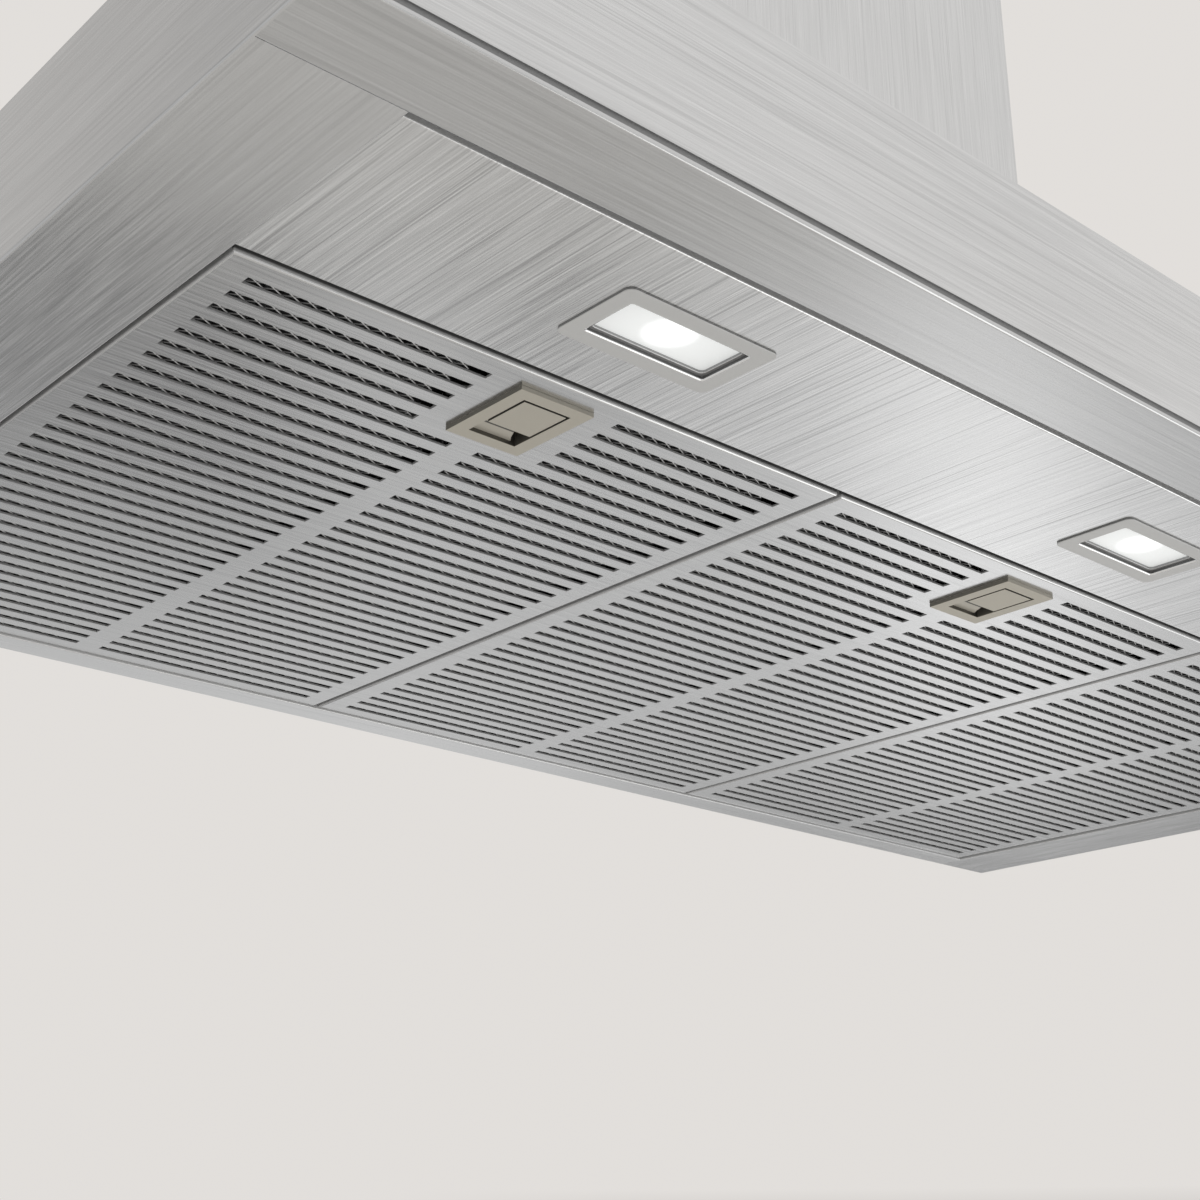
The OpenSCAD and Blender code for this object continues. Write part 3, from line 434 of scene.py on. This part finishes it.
def lamp_trim(name):
    """Satin painted frame round the lens, with a painted shadow line on its upright faces and painted shade on its
    inner wall and lip.
    """
    material, g, shader = principled(name, metallic=0.5, roughness=0.45)
    fine = g.noise((2200,) * 3, 3, 0.6)
    height = g.axes(g.place())[Z]

    def from_height(edge):
        return g.spread(height, TRIM_LOW + edge[0], TRIM_LOW + edge[1])

    paint = g.blend(fine, shade(TRIM_GREY, 0.98), shade(TRIM_GREY, 1.02))
    shadow_line = g.product(g.spread(g.facing()[Z], 0.3, 0.6, 1, 0), from_height(SHADOW_LINE))
    paint = g.blend(shadow_line, paint, shade(TRIM_GREY, SHADOW_LINE_TONE))
    inner = g.blend(from_height(LIP), grey(INNER_WALL_SHADE), grey(LIP_SHADE))
    g.feed(shader.inputs["Base Color"], g.blend(from_height(INNER_WALL), paint, inner))
    raise_grain(g, shader, fine, 0.05)
    return material


def middle_of(node):
    low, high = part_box(node)
    return (Vector(low) + Vector(high)) / 2


def lamp_lens(name):
    """Diffusing window that glows, brightest round the light source behind its middle."""
    material, g, shader = principled(name, roughness=0.35)
    shader.inputs["Base Color"].default_value = (0.55, 0.56, 0.56, 1)
    x, y, _ = g.axes(g.place())
    reach = None
    for side in SIDES:
        middle = middle_of(f"lamp_lens_{side}")
        dx = g.maths("SUBTRACT", x, middle.x + SPOT_OFFSET[0])
        dy = g.maths("SUBTRACT", y, middle.y + SPOT_OFFSET[1])
        distance = g.maths("SQRT", g.total(g.product(dx, dx), g.product(dy, dy)))
        reach = distance if reach is None else g.maths("MINIMUM", reach, distance)
    spot = g.spread(reach, SPOT_R * 0.75, SPOT_R * 1.25, 1.0, 0.0, smooth=True)
    halo = g.spread(reach, SPOT_R, SPOT_R * 3.4, 1.0, 0.0)
    glow = g.total(g.product(spot, SPOT_GLOW), g.product(halo, HALO_GLOW), LENS_GLOW)
    g.feed(shader.inputs["Emission Strength"], glow)
    shader.inputs["Emission Color"].default_value = (0.98, 1.0, 0.99, 1)
    return material


def bare_metal(name, colour, roughness, **settings):
    return grained(name, colour, metallic=1.0, roughness=roughness, **settings)


def mesh_metal(name, level, metallic=0.30, roughness=0.42, contrast=0.10):
    return grained(name, (level,) * 3, metallic=metallic, roughness=roughness, contrast=contrast, size=900)


finishes = {
    "panel": brushed("steel_panel", Y, tone=1.12, contrast=0.24, size=1700, strokes=0.8, bump=0.25),
    "rim_front": brushed("steel_rim_front", X, tone=0.93),
    "rim_rear": brushed("steel_rim_rear", X, tone=1.14, contrast=0.10),
    "rim_side": brushed("steel_rim_side", Y),
    "plate": brushed("steel_plate", X, contrast=0.11, size=1500, walls=False),
    "fascia": brushed("steel_fascia", X, size=1700, length=22, strokes=0.5, bump=0.10, walls=False),
    "filter": brushed("steel_filter", X, contrast=0.09, size=750, roughness=0.20, along_slots=True),
    "chimney": brushed("steel_chimney", Z, contrast=0.11, size=1600, strokes=0.4, walls=False),
    "zinc": galvanised("zinc_coat", (0.56, 0.58, 0.59)),
    # mesh_shaded and the deep layers' finish are darker copies of the mesh metal: painted shade where light doesn't
    # reach
    "mesh": mesh_metal("mesh_aluminium", 0.58),
    "mesh_shaded": mesh_metal("mesh_aluminium_shaded", 0.26),
    "mesh_deep_shade": mesh_metal("mesh_aluminium_deep_shade", 0.03, metallic=0.6, roughness=0.5, contrast=0.15),
    "latch": latch_satin("latch_satin"),
    # Lighter champagne for the latch pocket rim's rounds: a painted highlight line
    "latch_edge_highlight": grained("latch_edge_highlight", (0.80, 0.77, 0.68), metallic=0.8, roughness=0.30, contrast=0.02, bump=0.02),
    # Near-white metal for the lamp window's lower rim: a painted highlight line
    "bright_edge": bare_metal("bright_edge", (0.85, 0.85, 0.85), 0.22, contrast=0.02, bump=0.02),
    "spring": bare_metal("spring_steel", (0.55, 0.55, 0.55), 0.3, bump=0.05),
    "screw": bare_metal("screw_steel", (0.60, 0.60, 0.60), 0.32, bump=0.05),
    "seal": grained("seal_grey", (0.20, 0.20, 0.20), roughness=0.6, contrast=0.06),
    "bezel": lamp_trim("lamp_trim_grey"),
    "lens": lamp_lens("lamp_lens"),
    "housing": bare_metal("die_cast", (0.66, 0.66, 0.66), 0.5, size=700, bump=0.3),
    "button": grained("button_satin", (0.36, 0.36, 0.37), metallic=0.7, roughness=0.30, contrast=0.02, bump=0.05),
    "black": grained("moulded_black", (0.035, 0.035, 0.036), roughness=0.48, contrast=0.2, bump=0.3),
    "dark": grained("moulded_dark", (0.075, 0.077, 0.08), roughness=0.45, contrast=0.15, bump=0.25),
    "motor": grained("motor_zinc", (0.42, 0.43, 0.44), metallic=0.9, roughness=0.42, size=500, bump=0.2),
}
by_slot = {
    "stainless": "plate", "filter_steel": "filter", "filter_mesh": "mesh", "galvanised": "zinc", "latch": "latch",
    "spring_steel": "spring", "seal": "seal", "lamp_trim": "bezel", "lamp_lens": "lens", "lamp_housing": "housing",
    "button": "button", "black_plastic": "black", "fan_plastic": "dark", "motor": "motor",
}
by_node = {
    "light_panel": "panel", "front_fascia": "fascia", "side_panel_left": "rim_side", "side_panel_right": "rim_side",
    "front_rim": "rim_front", "rear_rail": "rim_rear",
    "chimney_lower": "chimney", "chimney_upper": "chimney", "canopy_screws": "screw", "blower_screws": "screw",
}


def finish_of(node):
    return finishes[by_node.get(node) or by_slot[slot_of_node[node]]]


def add_finishes(mesh, *materials):
    """For a mesh that has none. Its faces keep their material numbers, which a clear() would set to 0."""
    for material in materials:
        mesh.materials.append(material)


# ---------------------------------------------------------------- pieces

def new_piece(name, mesh, node, x=0.0):
    """Links a piece that stands for a CAD node and rides on that node's body."""
    piece = bpy.data.objects.new(name, mesh)
    piece.location.x = x
    bpy.context.scene.collection.objects.link(piece)
    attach(piece, body_of_node[node])
    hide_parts(node)
    return piece


OUTWARD_EDGE = math.radians(60)
ROUND_SEGMENTS = 2


def crisp_copy(node, rounds, reach):
    """The node's own form with small rounds on the outward edges that lie within reach of its underside.

    rounds is a list of (radius, test, finish): the edges whose middle passes the test get that radius, and their
    rounds that finish, or the node's own for None.
    """
    bm = bmesh.new()
    bm.from_mesh(frame["nodes"][node].data)
    bmesh.ops.remove_doubles(bm, verts=bm.verts, dist=1e-6)
    bmesh.ops.dissolve_limit(bm, angle_limit=math.radians(1), verts=bm.verts, edges=bm.edges)
    bmesh.ops.recalc_face_normals(bm, faces=bm.faces)
    bottom = min(v.co.z for v in bm.verts)
    for face in bm.faces:
        face.smooth = False
    materials = [finish_of(node)]
    for radius, test, finish in rounds:
        edges = []
        for edge in bm.edges:
            middle = (edge.verts[0].co + edge.verts[1].co) / 2
            outward = len(edge.link_faces) == 2 and edge.calc_face_angle_signed(0) > OUTWARD_EDGE
            if outward and middle.z < bottom + reach and test(middle):
                edges.append(edge)
        made = bmesh.ops.bevel(bm, geom=edges, offset=radius, offset_type="OFFSET", segments=ROUND_SEGMENTS,
                               profile=0.5, affect="EDGES", clamp_overlap=True)
        if finish:
            materials.append(finishes[finish])
        for face in made["faces"]:
            face.smooth = True
            face.material_index = len(materials) - 1 if finish else 0
    bmesh.ops.triangulate(bm, faces=[f for f in bm.faces if len(f.verts) > 4])
    mesh = bpy.data.meshes.new(f"{node}_crisp")
    bm.to_mesh(mesh)
    bm.free()
    add_finishes(mesh, *materials)
    new_piece(f"{node}_crisp", mesh, node)


LAMP_WINDOW_HALF = (27 * MM, 12 * MM)


def anywhere(at):
    return True


def pocket_rim(at):
    return at.z > LEDGE_LOW and at.y > SLIDER_SHADOW_BAND[0] - 3 * MM


def lamp_rims(middle):
    """Tests for the lower rim of a lamp's window and for the lip inside it."""
    def in_window(at):
        return abs(at.x - middle.x) < LAMP_WINDOW_HALF[0] and abs(at.y - middle.y) < LAMP_WINDOW_HALF[1]

    def window_rim(at):
        return in_window(at) and at.z < TRIM_LOW + 0.5 * MM

    def lip_rim(at):
        return in_window(at) and at.z > TRIM_LOW + 1.2 * MM

    return window_rim, lip_rim


def round_edges():
    for side in SIDES:
        # The pocket rim's rounds take a lighter champagne: a painted highlight line
        latch_rounds = [(0.18 * MM, pocket_rim, "latch_edge_highlight"), (0.12 * MM, anywhere, None)]
        crisp_copy(f"latch_bezel_{side}", latch_rounds, 1.9 * MM)
        crisp_copy(f"latch_slider_{side}", [(0.12 * MM, anywhere, None)], 1.3 * MM)
        window_rim, lip_rim = lamp_rims(middle_of(f"lamp_bezel_{side}"))
        # The window's lower rim takes near-white metal and the lip's rim the lighter housing grey: painted highlight
        # lines
        lamp_rounds = [(0.50 * MM, window_rim, "bright_edge"), (0.20 * MM, lip_rim, "housing"),
                       (0.10 * MM, anywhere, None)]
        crisp_copy(f"lamp_bezel_{side}", lamp_rounds, 2.0 * MM)


def shorten_springs():
    """The springs' own form, on the filters, as pieces of their own."""
    for side in SIDES:
        node = f"latch_spring_{side}"
        piece = new_piece(f"{node}_coil", frame["nodes"][node].data.copy(), node)
        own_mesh(piece)


MESH_GAP = 0.5 * MM
SLOT_PITCH = 10.2 * MM
FIRST_SLOT = 11.5 * MM  # from the filter's front to the middle of its first slot
SLOT_SIDE = 10.8 * MM  # from the filter's side to the slots' ends
SLOT_BAR_HALF = 5.7 * MM  # half the bar between the two columns of slots
LATCH_SLOT_END = 28 * MM  # from the filter's middle to the slots beside the latch
BARE = 4.5 * MM  # the strands stop this far before a slot's right end, which looks black
ROW_PHASE = 1.6 * MM  # a row of strands lies this far behind the middle of each slot, where the slot shows it
ROWS_PER_SLOT = 6
LEG_TILTS = (math.radians(-5), math.radians(-25))
LATCH_BODY_HALF = 13.45 * MM
LATCH_BODY_ROOM = 6 * MM

# Each layer's name, the finishes of its two kinds of leg (the darker ones are painted shade), its height over the
# mesh's underside and its sizes
MESH_LAYERS = (
    ("outer", ("mesh", "mesh_shaded"), 0.45 * MM,
     dict(pitch_x=6.6 * MM, row_pitch=SLOT_PITCH / ROWS_PER_SLOT, strand=0.36 * MM, thickness=0.2 * MM,
          plain_rows=(2, 3, 4))),
    ("middle", ("mesh_deep_shade", "mesh_deep_shade"), 2.8 * MM,
     dict(pitch_x=8.0 * MM, row_pitch=3.9 * MM, strand=1.3 * MM, thickness=0.4 * MM, phase=1)),
    ("inner", ("mesh_deep_shade", "mesh_deep_shade"), 5.2 * MM,
     dict(pitch_x=9.0 * MM, row_pitch=4.3 * MM, strand=2.6 * MM, thickness=0.4 * MM)),
)


def expanded_sheet(name, width, y_low, y_high, cut, bare, y_row0, z, pitch_x, row_pitch, strand, thickness, phase=0,
                   plain_rows=()):
    """One sheet of expanded metal: rows of zigzag strands that meet at their bends, round the latch's cut-out.

    The legs of a zigzag are twisted by LEG_TILTS, and its first leg, which the light doesn't reach, has material 1.
    Of each ROWS_PER_SLOT rows, those in plain_rows lie behind the cover's bars and have no twist.
    """
    half = width / 2
    columns = int(width / (pitch_x / 2))
    x0 = -columns * pitch_x / 4
    first = math.ceil((y_low + row_pitch / 2 - y_row0) / row_pitch)
    last = math.floor((y_high - row_pitch / 2 - y_row0) / row_pitch)
    neutral = sum(LEG_TILTS) / 2
    verts, faces, leg_of_face = [], [], []

    def has_bend(column, y):
        x = x0 + column * pitch_x / 2
        in_cut = abs(x) < cut[0] and y < cut[1]
        in_bare = any(low < x < high and near < y < far for low, high, near, far in bare)
        return 0 <= column <= columns and abs(x) <= half and not in_cut and not in_bare

    def ring(x, y, tilt):
        """Adds a strand's four corners there, and returns the index of the first."""
        along = Vector((0, math.cos(tilt), math.sin(tilt)))
        through = Vector((0, -math.sin(tilt), math.cos(tilt)))
        at = Vector((x, y, z))
        for a, b in ((1, -1), (1, 1), (-1, 1), (-1, -1)):
            verts.append(at + along * (a * strand / 2) + through * (b * thickness / 2))
        return len(verts) - 4

    def join(one, other, leg):
        faces.extend((one + i, one + (i + 1) % 4, other + (i + 1) % 4, other + i) for i in range(4))
        leg_of_face.extend([1 - leg] * 4)

    def close(*corners):
        faces.append(corners)
        leg_of_face.append(0)

    for row in range(first, last + 1):
        y_row = y_row0 + row_pitch * row
        twisted = row % ROWS_PER_SLOT not in plain_rows
        previous = None
        for column in range(columns + 1):
            goes_on = has_bend(column + 1, y_row)
            if not has_bend(column, y_row) or not (goes_on or has_bend(column - 1, y_row)):
                previous = None
                continue
            x = x0 + column * pitch_x / 2
            leg = (row + column + phase) % 2
            if previous is not None and twisted:
                middle = ring(x - pitch_x / 4, y_row, LEG_TILTS[leg])
                join(previous, middle, leg)
            here = ring(x, y_row + row_pitch / 2 * (1 if leg else -1), neutral)
            if previous is None:
                close(here, here + 1, here + 2, here + 3)
            else:
                join(middle if twisted else previous, here, leg)
            previous = here
            if not goes_on:
                close(here + 3, here + 2, here + 1, here)
    mesh = bpy.data.meshes.new(name)
    mesh.from_pydata([v[:] for v in verts], [], faces)
    mesh.polygons.foreach_set("material_index", leg_of_face)
    mesh.validate()
    return mesh


def fill_filters():
    """Three layers of expanded mesh in each filter, in place of the plain grid."""
    low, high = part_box("filter_mesh_centre")
    cover_low, cover_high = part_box("filter_cover_centre")
    latch_low, latch_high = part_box("latch_bezel_centre")
    width = high.x - low.x - 2 * MESH_GAP
    y_low, y_high = low.y + MESH_GAP, high.y - MESH_GAP
    y_row0 = cover_low.y + FIRST_SLOT + ROW_PHASE
    cut = (LATCH_BODY_HALF + MESH_GAP, y_low + (latch_high.y - latch_low.y) + LATCH_BODY_ROOM)
    slot_end = cover_high.x - SLOT_SIDE
    by_latch = latch_high.y + 2 * MM
    slot_ends = [
        (slot_end - BARE, slot_end + 6 * MM, y_low, y_high),
        (-SLOT_BAR_HALF - BARE, SLOT_BAR_HALF, by_latch, y_high),
        (-LATCH_SLOT_END - BARE, -LATCH_SLOT_END + 8 * MM, y_low, by_latch),
    ]
    for word, legs, height, sizes in MESH_LAYERS:
        bare = slot_ends if word == "outer" else []
        mesh = expanded_sheet(f"mesh_{word}", width, y_low, y_high, cut, bare, y_row0, low.z + height, **sizes)
        add_finishes(mesh, *(finishes[leg] for leg in legs))
        for side in SIDES:
            new_piece(f"filter_mesh_{side}_{word}", mesh, f"filter_mesh_{side}", middle_of(f"filter_cover_{side}").x)


# ---------------------------------------------------------------- set the scene

for node, thing in frame["nodes"].items():
    thing.data.materials.clear()
    add_finishes(thing.data, finish_of(node))
round_edges()
shorten_springs()
fill_filters()

make_camera()
make_world()
make_floor()
for name, lamp in LAMPS.items():
    area_light(name, *lamp)

bpy.context.scene.view_settings.view_transform = "Standard"
